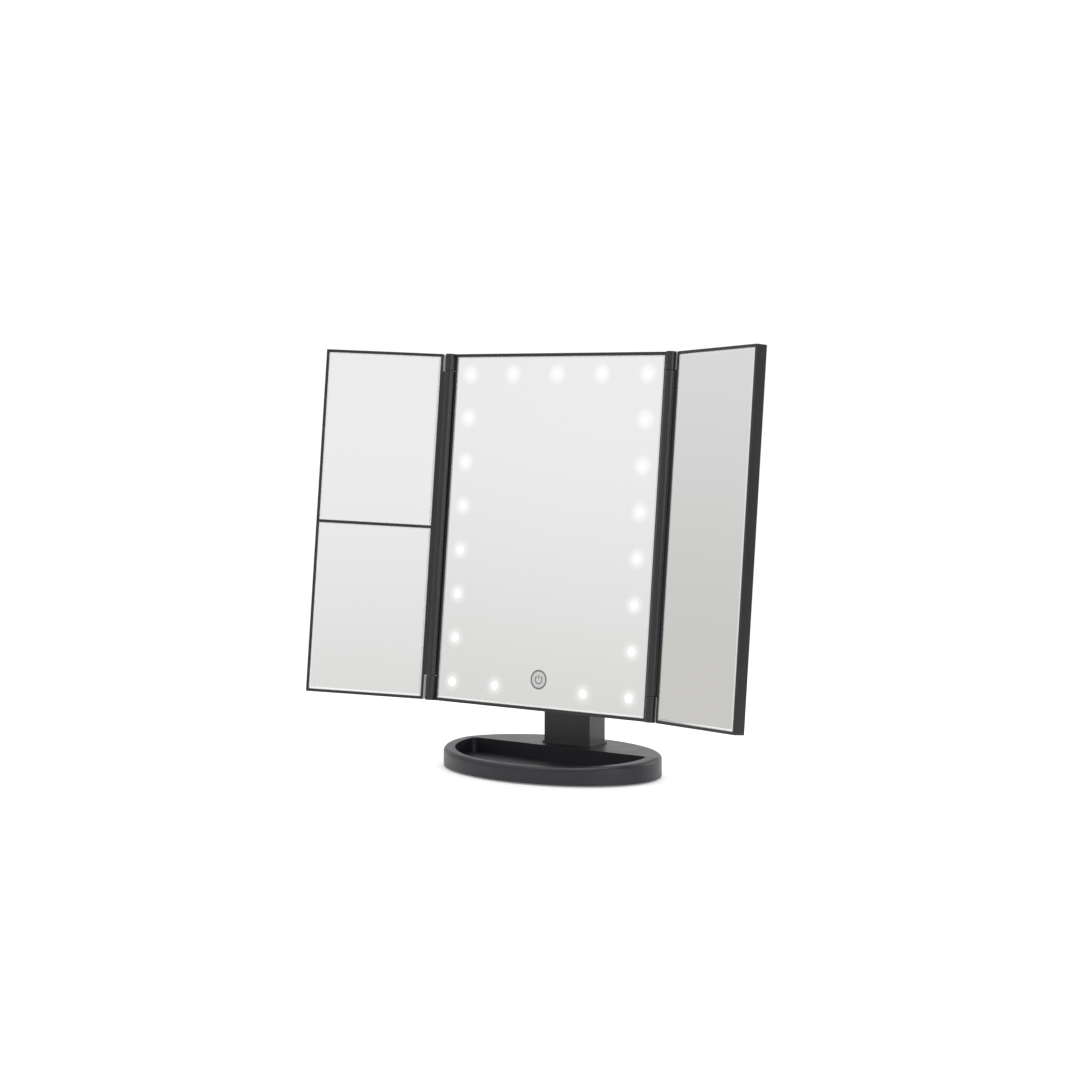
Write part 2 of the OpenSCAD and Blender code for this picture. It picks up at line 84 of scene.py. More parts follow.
table_radius = 1.2
table_fade_from = 0.34
table_fade_to = 0.85
table_shade = (0.9, 0.9, 0.9)
table_gloss = 0.6
table_glow_shade = (1.0, 1.0, 1.0)
table_glow = 0.2
front_wall_low = 0.72
front_wall_high = 0.93
left_wall_low = 0.65
left_wall_high = 0.77
right_wall_level = 0.32
right_wall_push = 0.35
back_wall_level = 1.06
floor_level = 1.0
window_level = 3.0
window_way = Vector((0.875, -0.440, 0.20)).normalized()
cool_white = (1.0, 1.0, 1.0)
warm_white = (1.0, 0.985, 0.955)


def new_finish(name):
    """An empty finish and its shader."""
    finish = bpy.data.materials.new(name)
    finish.use_nodes = True
    return finish, finish.node_tree.nodes["Principled BSDF"]


def step(finish, kind, settings=None, **dials):
    """Adds one step to a finish. A dial takes a number, a colour or an earlier step's output."""
    made = finish.node_tree.nodes.new("ShaderNode" + kind)
    for name, value in (settings or {}).items():
        setattr(made, name, value)
    for name, value in dials.items():
        numbered = name[0] == "n" and name[1:].isdigit()
        dial = made.inputs[int(name[1:])] if numbered else made.inputs[name.replace("_", " ")]
        if isinstance(value, bpy.types.NodeSocket):
            finish.node_tree.links.new(value, dial)
        else:
            dial.default_value = (*value, 1) if dial.type == "RGBA" else value
    return made


def feed(finish, output, shader, dial):
    """Runs a step's output into one of the shader's dials."""
    finish.node_tree.links.new(output, shader.inputs[dial])


def reckon(finish, how, first, second=0.0):
    """One sum on numbers, such as MULTIPLY or MAXIMUM."""
    return step(finish, "Math", {"operation": how}, n0=first, n1=second).outputs[0]


def rise(finish, value, start, end, low=0.0, high=1.0):
    """Goes smoothly from low to high while the value goes from start to end."""
    return step(finish, "MapRange", {"interpolation_type": "SMOOTHSTEP"}, Value=value,
                From_Min=start, From_Max=end, To_Min=low, To_Max=high).outputs[0]


def along(finish, place, direction):
    """How far a place lies in a direction."""
    return step(finish, "VectorMath", {"operation": "DOT_PRODUCT"},
                n0=place, n1=tuple(direction)).outputs["Value"]


def between(finish, amount, first, second):
    """A number between two numbers."""
    return step(finish, "Mix", {"data_type": "FLOAT"}, n0=amount, n2=first, n3=second).outputs[0]


def shade_between(finish, amount, first, second):
    """A colour between two colours."""
    return step(finish, "Mix", {"data_type": "RGBA"}, n0=amount, n6=first, n7=second).outputs[2]


room = bpy.data.worlds.new("white_room")
room.use_nodes = True
bpy.context.scene.world = room
backdrop = room.node_tree.nodes["Background"]
look = step(room, "TexCoord").outputs["Generated"]
look_up = along(room, look, (0, 0, 1))
look_right = along(room, look, (1, 0, 0))
look_left = along(room, look, (-1, 0, 0))
look_back = along(room, look, (0, 1, 0))

front_wall = rise(room, look_up, start=-0.04, end=0.17, low=front_wall_low, high=front_wall_high)
left_wall = rise(room, look_up, start=-0.02, end=0.16, low=left_wall_low, high=left_wall_high)
to_left = rise(room, look_left, start=0.55, end=0.95)
to_right = rise(room, look_right, start=0.25, end=0.70)
wall = between(room, to_left, front_wall, left_wall)
wall = between(room, to_right, wall, right_wall_level)

window_width = rise(room, along(room, look, window_way), start=0.90, end=0.99)
window_height = rise(room, look_up, start=0.0, end=0.12, low=0.0, high=window_level)
wall = reckon(room, "ADD", wall, reckon(room, "MULTIPLY", window_width, window_height))

right_wall_reach = reckon(room, "MULTIPLY", to_right, right_wall_push)
to_back = rise(room, reckon(room, "SUBTRACT", look_back, right_wall_reach), start=-0.15, end=0.10)
to_floor = rise(room, look_up, start=-0.15, end=-0.45)
wall = between(room, to_back, wall, back_wall_level)
wall = between(room, to_floor, wall, floor_level)
feed(room, wall, backdrop, "Strength")
near_table = rise(room, look_up, start=0.10, end=-0.02)
feed(room, shade_between(room, near_table, cool_white, warm_white), backdrop, "Color")

table_mesh = bpy.data.meshes.new("table_top")
table_top = bmesh.new()
bmesh.ops.create_circle(table_top, cap_ends=True, radius=table_radius, segments=96)
table_top.to_mesh(table_mesh)
table_top.free()
table = bpy.data.objects.new("table_top", table_mesh)
bpy.context.scene.collection.objects.link(table)
white_board, paint = new_finish("white_board")
paint.inputs["Base Color"].default_value = (*table_shade, 1)
paint.inputs["Roughness"].default_value = table_gloss
paint.inputs["Emission Color"].default_value = (*table_glow_shade, 1)
paint.inputs["Emission Strength"].default_value = table_glow
spot = step(white_board, "TexCoord").outputs["Object"]
reach = step(white_board, "VectorMath", {"operation": "LENGTH"}, n0=spot).outputs["Value"]
faded = rise(white_board, reach, table_fade_from, table_fade_to)
clear = step(white_board, "BsdfTransparent")
board_or_room = step(white_board, "MixShader", n0=faded, n1=paint.outputs[0], n2=clear.outputs[0])
board_end = white_board.node_tree.nodes["Material Output"]
feed(white_board, board_or_room.outputs[0], board_end, "Surface")
table_mesh.materials.append(white_board)


def softbox(name, place, aim, side, watts):
    """A square soft light on a stand, turned to its aim."""
    lamp = bpy.data.lights.new(name, "AREA")
    lamp.size = side
    lamp.energy = watts
    holder = bpy.data.objects.new(name, lamp)
    holder.location = place
    holder.rotation_euler = (Vector(aim) - Vector(place)).to_track_quat("-Z", "Y").to_euler()
    bpy.context.scene.collection.objects.link(holder)


softbox("overhead", place=(0.0, 0.1, 1.5), aim=(0, 0, 0.1), side=1.2, watts=9)
softbox("right_rear", place=(1.1, 1.4, 0.7), aim=(0, 0, 0.1), side=0.8, watts=6)


# ---- Base ----
# An oval tray moulded in one piece in charcoal plastic with a fine matt grain,
# closed underneath by a flat cover of the same plastic. The pocket is moulded
# in, and its rims are rounded so that fingers and rings slide over them.

base_shade = (0.0105, 0.0100, 0.0150)
base_gloss = 0.40
base_shine = 0.44
base_rounding = 0.0005
sheen_patch = 0.016
rubbed_width = 0.0006


def speckle(finish, size, detail=2.0):
    """A cloudy pattern whose marks are about this many metres across."""
    place = step(finish, "TexCoord").outputs["Object"]
    return step(finish, "TexNoise", Vector=place, Scale=1 / size, Detail=detail).outputs["Fac"]


def rubbed_edge(finish, width):
    """1 along the outer edges that fingers rub, 0 on the flats."""
    rounded = step(finish, "Bevel", {"samples": 4}, Radius=width).outputs[0]
    flat = step(finish, "NewGeometry").outputs["Normal"]
    turn = step(finish, "VectorMath", {"operation": "DOT_PRODUCT"}, n0=rounded, n1=flat)
    return rise(finish, turn.outputs["Value"], 1.0, 0.8)


def tinted(shade, factor, lift=0.0):
    """A lighter or darker version of a colour."""
    return tuple(factor * part + lift for part in shade)


def grain_relief(finish, shader, pattern, depth):
    """Turns a pattern into a relief of this many metres."""
    relief = step(finish, "Bump", Distance=depth, Height=pattern)
    feed(finish, relief.outputs[0], shader, "Normal")


def moulded_plastic(name, shade, gloss, grain=0.0008, depth=0.00004, shine=0.5):
    """Charcoal plastic as it leaves a matt mould: fine grain, patchy sheen, paler rubbed edges."""
    darker, lighter, worn = tinted(shade, 0.86), tinted(shade, 1.14), tinted(shade, 1.7, 0.006)
    smoothest, roughest, rubbed_smoother = gloss - 0.015, gloss + 0.02, 0.08
    finish, shader = new_finish(name)
    fine = speckle(finish, grain, 3.0)
    patches = speckle(finish, sheen_patch)
    rubbed = reckon(finish, "MULTIPLY", rubbed_edge(finish, rubbed_width),
                    rise(finish, patches, 0.35, 0.7, 0.35, 1.0))
    body = shade_between(finish, rise(finish, fine, 0.3, 0.7), darker, lighter)
    feed(finish, shade_between(finish, rubbed, body, worn), shader, "Base Color")
    sheen = rise(finish, patches, 0.3, 0.7, smoothest, roughest)
    sheen = reckon(finish, "SUBTRACT", sheen, reckon(finish, "MULTIPLY", rubbed, rubbed_smoother))
    feed(finish, sheen, shader, "Roughness")
    shader.inputs["Specular IOR Level"].default_value = shine
    grain_relief(finish, shader, fine, depth)
    return finish


def even_shading():
    """The modifier that shades a rounded part smoothly."""
    group = bpy.data.node_groups.get("even_shading")
    if group:
        return group
    group = bpy.data.node_groups.new("even_shading", "GeometryNodeTree")
    group.interface.new_socket("Geometry", in_out="INPUT", socket_type="NodeSocketGeometry")
    group.interface.new_socket("Geometry", in_out="OUTPUT", socket_type="NodeSocketGeometry")
    start = group.nodes.new("NodeGroupInput")
    shade = group.nodes.new("GeometryNodeSetShadeSmooth")
    end = group.nodes.new("NodeGroupOutput")
    group.links.new(start.outputs[0], shade.inputs[0])
    group.links.new(shade.outputs[0], end.inputs[0])
    return group


def round_edges(piece, radius, turn=35):
    """Rounds a piece's sharp edges, and shades it evenly across them."""
    piece.modifiers.new("join_corners", "WELD").merge_threshold = 1e-6
    flats = piece.modifiers.new("join_flats", "DECIMATE")
    flats.decimate_type = "DISSOLVE"
    flats.angle_limit = radians(0.4)
    edge = piece.modifiers.new("round_edges", "BEVEL")
    edge.width = radius
    edge.segments = 2
    edge.limit_method = "ANGLE"
    edge.angle_limit = radians(turn)
    piece.modifiers.new("even_shading", "NODES").node_group = even_shading()
    piece.modifiers.new("flat_faces_flat", "WEIGHTED_NORMAL")


def dress(node, finish, rounding=0.0):
    """Gives a part its finish, and rounds its edges."""
    part = frame["nodes"][node]
    for place in part.material_slots:
        place.link = "OBJECT"
        place.material = finish
    if rounding:
        round_edges(part, rounding)


base_plastic = moulded_plastic("base_plastic", base_shade, base_gloss, shine=base_shine)
dress("base_tray", base_plastic, base_rounding)
dress("base_cover", base_plastic)


# ---- Grip pad ----
# A sheet of black rubber under the base, cut to a smaller oval with holes for
# the screws and stuck to the cover. Its skin is dull, with fine dust in it.

pad_shade = (0.013, 0.013, 0.013)
pad_dust_shade = (0.09, 0.085, 0.08)
pad_grain = 0.0006
pad_grain_depth = 0.00008
pad_dust_patch = 0.02

pad_rubber, pad_shader = new_finish("pad_rubber")
pad_skin = speckle(pad_rubber, pad_grain, 4.0)
pad_dust = reckon(pad_rubber, "MULTIPLY",
                  rise(pad_rubber, speckle(pad_rubber, pad_dust_patch, 4.0), 0.5, 0.8),
                  rise(pad_rubber, pad_skin, 0.45, 0.7))
pad_colour = shade_between(pad_rubber, pad_dust, pad_shade, pad_dust_shade)
feed(pad_rubber, pad_colour, pad_shader, "Base Color")
feed(pad_rubber, rise(pad_rubber, pad_skin, 0.3, 0.7, 0.75, 0.95), pad_shader, "Roughness")
grain_relief(pad_rubber, pad_shader, pad_skin, pad_grain_depth)
dress("base_pad", pad_rubber)


# ---- Screws and hinge pins ----
# Small pan-head screws with a cross slot, and plain pins pressed into the
# hinge ears: turned from steel wire and zinc plated, so they are bright with
# fine turning marks and a few duller patches.

zinc_shade = (0.58, 0.59, 0.61)
zinc_dull_shade = (0.36, 0.36, 0.37)
zinc_gloss = 0.32
dull_patch = 0.004
metal_grain_depth = 0.00001


def bright_metal(name, shade, dull_shade, gloss, marks):
    """Plated or turned metal: fine marks in its sheen, duller patches in its colour."""
    smoothest, roughest, dull_rougher = gloss - 0.08, gloss + 0.08, 0.15
    finish, shader = new_finish(name)
    fine = speckle(finish, marks, 3.0)
    dull = rise(finish, speckle(finish, dull_patch, 3.0), 0.45, 0.75)
    feed(finish, shade_between(finish, dull, shade, dull_shade), shader, "Base Color")
    sheen = rise(finish, fine, 0.3, 0.7, smoothest, roughest)
    sheen = reckon(finish, "ADD", sheen, reckon(finish, "MULTIPLY", dull, dull_rougher))
    feed(finish, sheen, shader, "Roughness")
    shader.inputs["Metallic"].default_value = 1.0
    grain_relief(finish, shader, fine, metal_grain_depth)
    return finish


zinc = bright_metal("zinc_plate", zinc_shade, zinc_dull_shade, zinc_gloss, 0.0003)
for node in ("base_screws", "neck_screws", "neck_foot_screws", "bracket_screws", "back_screws",
             "left_hinge_pins", "right_hinge_pins"):
    dress(node, zinc)


# ---- Neck ----
# A square post moulded in the base's plastic, with a rounded top that the axle
# runs through. A flat cover, let into its back, hides the hollow inside.

neck_shade = (0.029, 0.029, 0.031)
neck_gloss = 0.40
neck_rounding = 0.0006
cover_rounding = 0.0003

neck_plastic = moulded_plastic("neck_plastic", neck_shade, neck_gloss)
dress("neck_shell", neck_plastic, neck_rounding)
dress("neck_cover", neck_plastic, cover_rounding)


# ---- Tilt axle, nuts and washers ----
# A steel axle through the neck's top and the bracket's cheeks. White nylon
# washers give it its stiff turn, and a round blackened nut with a knurled rim
# is screwed on each end.

axle_shade = (0.50, 0.51, 0.53)
axle_gloss = 0.25
nylon_shade = (0.74, 0.73, 0.69)
nut_shade = (0.035, 0.035, 0.038)
nut_worn_shade = (0.16, 0.16, 0.165)
nut_rubbed_width = 0.0003
nut_teeth = 36
nut_groove = 0.0004
nut_chamfer = 0.0005
nut_dome = 0.0002


def cloudy_finish(name, darker, lighter, grain, smoothest, roughest, depth):
    """A plain surface, clouded by its own fine grain."""
    finish, shader = new_finish(name)
    cloud = speckle(finish, grain, 3.0)
    feed(finish, shade_between(finish, cloud, darker, lighter), shader, "Base Color")
    feed(finish, rise(finish, cloud, 0.3, 0.7, smoothest, roughest), shader, "Roughness")
    grain_relief(finish, shader, cloud, depth)
    return finish


axle_steel = bright_metal("axle_steel", axle_shade, zinc_dull_shade, axle_gloss, 0.0002)
dress("tilt_axle", axle_steel)

nylon = cloudy_finish("washer_nylon", tinted(nylon_shade, 0.92), nylon_shade,
                      grain=0.002, smoothest=0.35, roughest=0.5, depth=0.00002)
dress("tilt_washers", nylon)

black_oxide, oxide_shader = new_finish("blackened_steel")
oxide_fine = speckle(black_oxide, 0.0004, 3.0)
oxide_worn = reckon(black_oxide, "MULTIPLY", rubbed_edge(black_oxide, nut_rubbed_width),
                    rise(black_oxide, oxide_fine, 0.35, 0.65))
oxide_colour = shade_between(black_oxide, oxide_worn, nut_shade, nut_worn_shade)
feed(black_oxide, oxide_colour, oxide_shader, "Base Color")
feed(black_oxide, rise(black_oxide, oxide_fine, 0.3, 0.7, 0.3, 0.45), oxide_shader, "Roughness")
oxide_shader.inputs["Metallic"].default_value = 1.0
grain_relief(black_oxide, oxide_shader, oxide_fine, metal_grain_depth)


def knurled_nut(name, inner, outer, middle, radius, hole):
    """A round nut on the axle: rings of points from its hole, over its face, to its knurled rim."""
    mesh = bmesh.new()
    width = outer - inner
    profile = [  # how far across the nut, radius, and depth of the knurl's grooves there
        (0.0, hole, 0.0),
        (0.0, radius - nut_chamfer, 0.0),
        (nut_chamfer, radius, nut_groove),
        (width - nut_chamfer, radius, nut_groove),
        (width, radius - nut_chamfer, 0.0),
        (width, hole + nut_chamfer, 0.0),
        (width - nut_dome, hole, 0.0),
    ]
    rings = []
    for across, far, groove in profile:
        ring = []
        for point in range(4 * nut_teeth):  # two points on each tooth, two in each groove
            turn = pi * point / (2 * nut_teeth)
            here = far - (groove if point % 4 in (2, 3) else 0.0)
            ring.append(mesh.verts.new((
                inner + across, middle.y + here * cos(turn), middle.z + here * sin(turn))))
        rings.append(ring)
    for one, other in zip(rings, rings[1:] + rings[:1]):
        for here in range(len(one)):
            there = (here + 1) % len(one)
            mesh.faces.new((one[here], one[there], other[there], other[here]))
    bmesh.ops.recalc_face_normals(mesh, faces=mesh.faces)
    nut_mesh = bpy.data.meshes.new(name)
    mesh.to_mesh(nut_mesh)
    mesh.free()
    nut_mesh.materials.append(black_oxide)
    nut = bpy.data.objects.new(name, nut_mesh)
    bpy.context.scene.collection.objects.link(nut)
    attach(nut, "head")
    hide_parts("tilt_nuts")


nuts_low, nuts_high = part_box("tilt_nuts")
axle_low, axle_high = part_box("tilt_axle")
axle_middle = (axle_low + axle_high) / 2
axle_radius = (axle_high.z - axle_low.z) / 2
nut_radius = (nuts_high.z - nuts_low.z) / 2
nut_faces = [point.co.x for point in frame["nodes"]["tilt_nuts"].data.vertices]
nut_inner = max(face for face in nut_faces if face < nuts_high.x - 0.001)
knurled_nut("tilt_nut_right", nut_inner, nuts_high.x, axle_middle, nut_radius, axle_radius)
knurled_nut("tilt_nut_left", nuts_low.x, -nut_inner, axle_middle, nut_radius, axle_radius)


# ---- Tilt bracket ----
# A plate with two rounded cheeks, moulded in one piece and screwed to the back
# of the centre panel. The cheeks ride on the axle at each side of the neck.

bracket_shade = (0.022, 0.022, 0.024)
bracket_gloss = 0.42
bracket_rounding = 0.0005

bracket_plastic = moulded_plastic("bracket_plastic", bracket_shade, bracket_gloss)
dress("tilt_bracket", bracket_plastic, bracket_rounding)


# ---- Centre frame ----
# A shallow moulded frame with half of each hinge: a round ear at the top and
# bottom of both sides. It is smoother than the base, since it is polished
# after moulding, and its thin rim is rubbed paler by hands.

frame_shade = (0.012, 0.012, 0.0135)
frame_gloss = 0.32
frame_grain = 0.0006
frame_grain_depth = 0.00003
frame_rounding = 0.0005

frame_plastic = moulded_plastic(
    "frame_plastic", frame_shade, frame_gloss, frame_grain, frame_grain_depth)
dress("centre_frame", frame_plastic, frame_rounding)


# ---- Centre mirror ----
# Float glass, silvered on its back; its shallow front bevel is dull and painted pale as a
# highlight.
# Round spots are left clear for the lights, whose glow leaks sideways in the
# glass, and the silver is thinner over the touch key so that it feels a finger.

silver_shade = (0.905, 0.908, 0.905)
# The bevel's pale colour and its non-metal share are painted highlight: they stand in for the
# bright line that the glass edge reflects.
bevel_highlight_shade = (0.82, 0.825, 0.82)
bevel_highlight_share = 0.6
bevel_band_from = 0.996
bevel_band_full = 0.985
wipe_patch = 0.025
wipe_stretch = (1.0, 1.0, 0.25)
key_silver_shade = (0.76, 0.76, 0.755)
key_silver_fade = 0.0012
glow_shade = (1.0, 0.995, 0.985)
glow_reach = 0.0085
glow_strength = 0.13
light_rows = 8
light_columns = 5
corner_reach = 0.012

joints = {joint["name"]: joint for joint in frame["joints"]}
panel_up = Vector(joints["left_wing_fold"]["axis"]).normalized()
panel_right = Vector((1, 0, 0))
panel_front = panel_right.cross(panel_up)


def facing(node):
    """The direction that the broad front of a plate faces."""
    fronts = [face for face in frame["nodes"][node].data.polygons if face.normal.y < 0]
    return max(fronts, key=lambda face: face.area).normal.normalized()


def silvered_glass(name, front):
    """Silvered glass with faint wipe marks, and a duller bevel round its front painted pale as a
    highlight.
    """
    finish, shader = new_finish(name)
    turned = step(finish, "TexCoord").outputs["Normal"]
    bevel_band = rise(finish, along(finish, turned, front), bevel_band_from, bevel_band_full)
    place = step(finish, "TexCoord").outputs["Object"]
    wipes = step(finish, "Mapping", Vector=place, Scale=wipe_stretch).outputs[0]
    haze = step(finish, "TexNoise", Vector=wipes, Scale=1 / wipe_patch, Detail=4.0).outputs["Fac"]
    fine = speckle(finish, 0.0007)
    silver = shade_between(finish, haze, tinted(silver_shade, 0.995), silver_shade)
    # Pale colour on the bevel: painted highlight along the glass edges.
    feed(finish, shade_between(finish, bevel_band, silver, bevel_highlight_shade), shader, "Base Color")
    bevel_white_share = reckon(finish, "MULTIPLY", bevel_band, bevel_highlight_share)
    feed(finish, reckon(finish, "SUBTRACT", 1.0, bevel_white_share), shader, "Metallic")
    polish = rise(finish, haze, 0.35, 0.75, 0.012, 0.04)
    bevel_polish = rise(finish, fine, 0.3, 0.7, 0.12, 0.2)
    feed(finish, between(finish, bevel_band, polish, bevel_polish), shader, "Roughness")
    grain_relief(finish, shader, reckon(finish, "MULTIPLY", fine, bevel_band), 0.00001)
    return finish


def places_along(node, direction):
    """How far each point of a part lies in a direction."""
    return [point.co.dot(direction) for point in frame["nodes"][node].data.vertices]


window_rights = places_along("light_windows", panel_right)
window_ups = places_along("light_windows", panel_up)
windows_half = max(window_rights)
windows_top = max(window_ups)
windows_bottom = min(window_ups)
window_radius = (windows_half - min(
    right for right, up in zip(window_rights, window_ups)
    if right > windows_half - corner_reach and up > windows_top - corner_reach)) / 2
light_x = windows_half - window_radius
light_top = windows_top - window_radius
light_bottom = windows_bottom + window_radius
row_pitch = (light_top - light_bottom) / (light_rows - 1)
column_pitch = 2 * light_x / (light_columns - 1)


def away_from_light(finish):
    """How far a place on the panel lies from the middle of its nearest light."""
    place = step(finish, "TexCoord").outputs["Object"]
    sideways = reckon(finish, "ABSOLUTE", along(finish, place, panel_right))
    upward = along(finish, place, panel_up)

    def off_grid(value, start, pitch):
        steps = reckon(finish, "DIVIDE", reckon(finish, "SUBTRACT", value, start), pitch)
        missed = reckon(finish, "SUBTRACT", steps, reckon(finish, "ROUND", steps))
        return reckon(finish, "MULTIPLY", reckon(finish, "ABSOLUTE", missed), pitch)

    def far(across, up):
        squares = [reckon(finish, "POWER", side, 2.0) for side in (across, up)]
        return reckon(finish, "SQRT", reckon(finish, "ADD", *squares))

    def off(value, middle):
        return reckon(finish, "ABSOLUTE", reckon(finish, "SUBTRACT", value, middle))

    in_row = off_grid(sideways, 0.0, column_pitch)
    key_gap = reckon(finish, "LESS_THAN", sideways, column_pitch / 2)
    side = far(off(sideways, light_x), off_grid(upward, light_bottom, row_pitch))
    top = far(in_row, off(upward, light_top))
    bottom = far(reckon(finish, "ADD", in_row, key_gap), off(upward, light_bottom))
    return reckon(finish, "MINIMUM", side, reckon(finish, "MINIMUM", top, bottom))


ring_low, ring_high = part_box("touch_ring")
ring_middle = (ring_low + ring_high) / 2
ring_radius = (ring_high.x - ring_low.x) / 2

centre_silver = silvered_glass("centre_silver", panel_front)
centre_shader = centre_silver.node_tree.nodes["Principled BSDF"]
centre_place = step(centre_silver, "TexCoord").outputs["Object"]
from_key = step(centre_silver, "VectorMath", {"operation": "DISTANCE"},
                n0=centre_place, n1=tuple(ring_middle)).outputs["Value"]
thinned = rise(centre_silver, from_key, ring_radius, ring_radius - key_silver_fade)
full_silver = centre_shader.inputs["Base Color"].links[0].from_socket
part_silver = shade_between(centre_silver, thinned, full_silver, key_silver_shade)
feed(centre_silver, part_silver, centre_shader, "Base Color")
leak = rise(centre_silver, away_from_light(centre_silver), glow_reach, window_radius * 0.8,
            0.0, glow_strength)
centre_shader.inputs["Emission Color"].default_value = (*glow_shade, 1)
feed(centre_silver, leak, centre_shader, "Emission Strength")
dress("centre_mirror", centre_silver)


# ---- Light windows ----
# The round spots in the glass, frosted by etching. Each is lit from behind by
# one light, so it is brightest in its middle and fades to its rim.

frost_shade = (0.64, 0.64, 0.63)
window_glow_shade = (1.0, 0.995, 0.98)
window_middle = 0.50
window_rim = 0.29

frost = cloudy_finish("etched_window", tinted(frost_shade, 0.97), frost_shade,
                      grain=0.0004, smoothest=0.4, roughest=0.6, depth=0.00001)
frost_shader = frost.node_tree.nodes["Principled BSDF"]
frost_shader.inputs["Emission Color"].default_value = (*window_glow_shade, 1)
window_glow = rise(frost, away_from_light(frost), window_radius, window_radius * 0.2,
                   window_rim, window_middle)
feed(frost, window_glow, frost_shader, "Emission Strength")
dress("light_windows", frost)


# ---- Touch key ----
# A ring and a power mark printed in grey ink on the glass, with a copper pad
# behind it that feels a finger. The mark is an open circle with an upright bar.

ink_shade = (0.16, 0.16, 0.165)
mark_radius = 0.0027
mark_line = 0.00075
mark_opening = radians(38)
mark_bends = 48
mark_bar = 0.0026
mark_bar_steps = 4
mark_thick = 0.00006

ink = cloudy_finish("grey_ink", tinted(ink_shade, 0.85), tinted(ink_shade, 1.2),
                    grain=0.0003, smoothest=0.35, roughest=0.55, depth=0.000005)
dress("touch_ring", ink)

ring_face = max(places_along("touch_ring", panel_front))
mark_middle = ring_middle + panel_front * (ring_face - ring_middle.dot(panel_front))


def printed_strip(mesh, inside, outside):
    """A thin raised strip between two lines of points on the glass, closed all round."""
    levels = []
    for lift in (0.0, mark_thick):
        for line in (inside, outside):
            levels.append([mesh.verts.new(
                mark_middle + panel_right * right + panel_up * up + panel_front * lift)
                for right, up in line])
    low_in, low_out, high_in, high_out = levels
    sides = ((high_in, high_out), (low_out, low_in), (low_in, high_in), (high_out, low_out))
    for here in range(len(inside) - 1):
        for one, other in sides:
            mesh.faces.new((one[here], other[here], other[here + 1], one[here + 1]))
    for end in (0, -1):
        mesh.faces.new((low_in[end], low_out[end], high_out[end], high_in[end]))


def open_circle(radius):
    """Points round the mark's circle, from one side of its opening to the other."""
    turns = [mark_opening + bend * (2 * pi - 2 * mark_opening) / mark_bends
             for bend in range(mark_bends + 1)]
    return [(radius * sin(turn), radius * cos(turn)) for turn in turns]


def bar_side(right):
    """Points up one side of the mark's bar."""
    foot = mark_radius + mark_line / 2 - mark_bar
    return [(right, foot + point * mark_bar / mark_bar_steps)
            for point in range(mark_bar_steps + 1)]


mark = bmesh.new()
printed_strip(mark, open_circle(mark_radius - mark_line / 2),
              open_circle(mark_radius + mark_line / 2))
printed_strip(mark, bar_side(-mark_line / 2), bar_side(mark_line / 2))
bmesh.ops.recalc_face_normals(mark, faces=mark.faces)
mark_mesh = bpy.data.meshes.new("touch_mark")
mark.to_mesh(mark_mesh)
mark.free()
mark_mesh.materials.append(ink)
touch_mark = bpy.data.objects.new("touch_mark", mark_mesh)
bpy.context.scene.collection.objects.link(touch_mark)
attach(touch_mark, "head")


# ---- Boards, wires and socket ----
# Behind the glass: a ring of circuit board with the white lights on it, the
# control board, the copper touch pad, two wires up to the cells, and the
# nickelled socket for the power lead.

solder_mask_shade = (0.012, 0.075, 0.035)
track_shade = (0.03, 0.15, 0.07)
track_depth = 0.00003
phosphor_shade = (0.85, 0.74, 0.30)
copper_shade = (0.83, 0.48, 0.28)
copper_gloss = 0.35
wire_shade = (0.45, 0.03, 0.025)
nickel_shade = (0.62, 0.60, 0.57)
nickel_gloss = 0.25
socket_rounding = 0.0001

board, board_shader = new_finish("circuit_board")
board_place = step(board, "TexCoord").outputs["Object"]
tracks = step(board, "TexBrick", Vector=board_place, Scale=160.0, Mortar_Size=0.012).outputs["Fac"]
board_colour = shade_between(board, tracks, solder_mask_shade, track_shade)
feed(board, board_colour, board_shader, "Base Color")
feed(board, rise(board, speckle(board, 0.003), 0.3, 0.7, 0.25, 0.4), board_shader, "Roughness")
grain_relief(board, board_shader, tracks, track_depth)
dress("led_board", board)
dress("control_board", board)

phosphor = cloudy_finish("light_phosphor", tinted(phosphor_shade, 0.9), phosphor_shade,
                         grain=0.0003, smoothest=0.4, roughest=0.6, depth=0.00001)
dress("led_chips", phosphor)

copper_dull_shade = tinted(copper_shade, 0.6)
nickel_dull_shade = tinted(nickel_shade, 0.7)
copper = bright_metal("pad_copper", copper_shade, copper_dull_shade, copper_gloss, 0.0004)
dress("touch_pad", copper)
nickel = bright_metal("socket_nickel", nickel_shade, nickel_dull_shade, nickel_gloss, 0.0003)
dress("power_socket", nickel, socket_rounding)

sleeve = cloudy_finish("wire_sleeve", tinted(wire_shade, 0.8), wire_shade,
                       grain=0.0005, smoothest=0.35, roughest=0.5, depth=0.00002)
dress("wires", sleeve)


# ---- Back cover and battery door ----
# The panel's back, moulded with the battery box standing out of it and held by
# six screws. The door drops into a seat on the box and has grooves for a nail.

back_shade = (0.021, 0.021, 0.023)
back_gloss = 0.45
back_grain = 0.001
back_grain_depth = 0.00006
back_rounding = 0.0005

back_plastic = moulded_plastic("back_plastic", back_shade, back_gloss, back_grain, back_grain_depth)
dress("back_cover", back_plastic, back_rounding)
dress("cell_door", back_plastic, cover_rounding)


# ---- Cells and contacts ----
# Four plain AA cells side by side, with a copper-coloured top over a black
# jacket, between nickelled springs and contact plates.

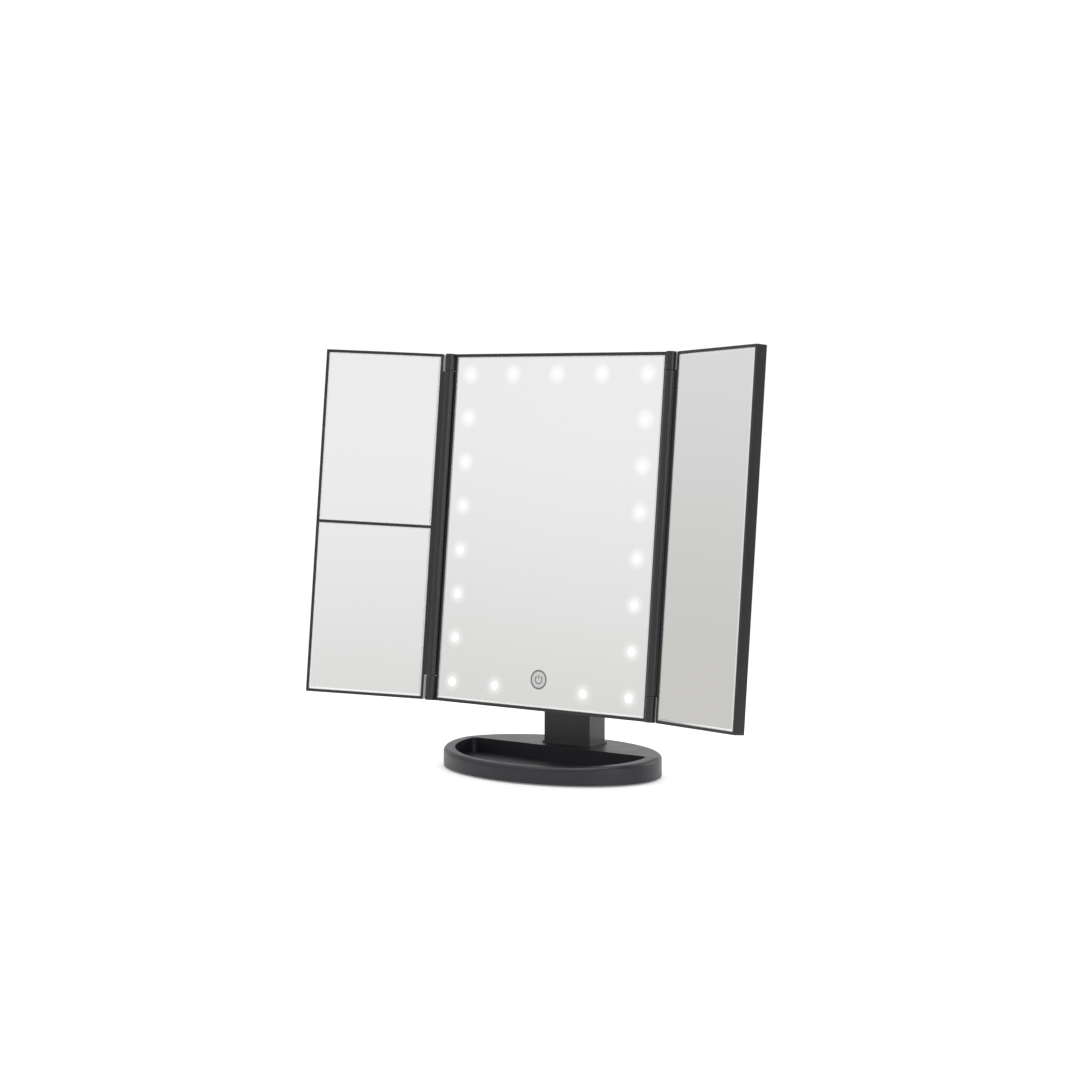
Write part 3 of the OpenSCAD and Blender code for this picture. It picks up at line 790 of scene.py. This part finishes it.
jacket_shade = (0.02, 0.02, 0.022)
jacket_print_edge = 0.0001
cell_top_shade = (0.72, 0.40, 0.18)
cell_top_share = 0.3
cell_top_metal = 0.9
contact_gloss = 0.3

cell_ups = places_along("cells", panel_up)
cell_split = max(cell_ups) - cell_top_share * (max(cell_ups) - min(cell_ups))
jacket, jacket_shader = new_finish("cell_jacket_print")
jacket_up = along(jacket, step(jacket, "TexCoord").outputs["Object"], panel_up)
jacket_top = rise(jacket, jacket_up, cell_split - jacket_print_edge, cell_split + jacket_print_edge)
jacket_fine = speckle(jacket, 0.0006, 3.0)
jacket_flecks = rise(jacket, jacket_fine, 0.45, 1.1)
jacket_body = shade_between(jacket, jacket_top, jacket_shade, cell_top_shade)
jacket_colour = shade_between(jacket, jacket_flecks, jacket_body, tinted(cell_top_shade, 0.3))
feed(jacket, jacket_colour, jacket_shader, "Base Color")
feed(jacket, reckon(jacket, "MULTIPLY", jacket_top, cell_top_metal), jacket_shader, "Metallic")
feed(jacket, rise(jacket, jacket_fine, 0.3, 0.7, 0.22, 0.35), jacket_shader, "Roughness")
grain_relief(jacket, jacket_shader, jacket_fine, 0.00001)
dress("cells", jacket)
contact_nickel = bright_metal(
    "contact_nickel", nickel_shade, nickel_dull_shade, contact_gloss, 0.0003)
dress("cell_contacts", contact_nickel)


# ---- Wings ----
# Two thinner panels, each with a hinge barrel that turns between the centre
# frame's ears, and a frame and flat back cover moulded like the centre's. The
# left wing has two mirrors with a bar between them, and the right wing has one.

wing_cover_shade = (0.021, 0.021, 0.023)
wing_cover_gloss = 0.43
wing_cover_grain_depth = 0.00005

wing_back_plastic = moulded_plastic("wing_back_plastic", wing_cover_shade, wing_cover_gloss,
                                    back_grain, wing_cover_grain_depth)
for side in ("left", "right"):
    dress(side + "_frame", frame_plastic, frame_rounding)
    dress(side + "_cover", wing_back_plastic, cover_rounding)
for mirror in ("left_upper_mirror", "left_lower_mirror", "right_mirror"):
    dress(mirror, silvered_glass(mirror + "_silver", facing(mirror)))
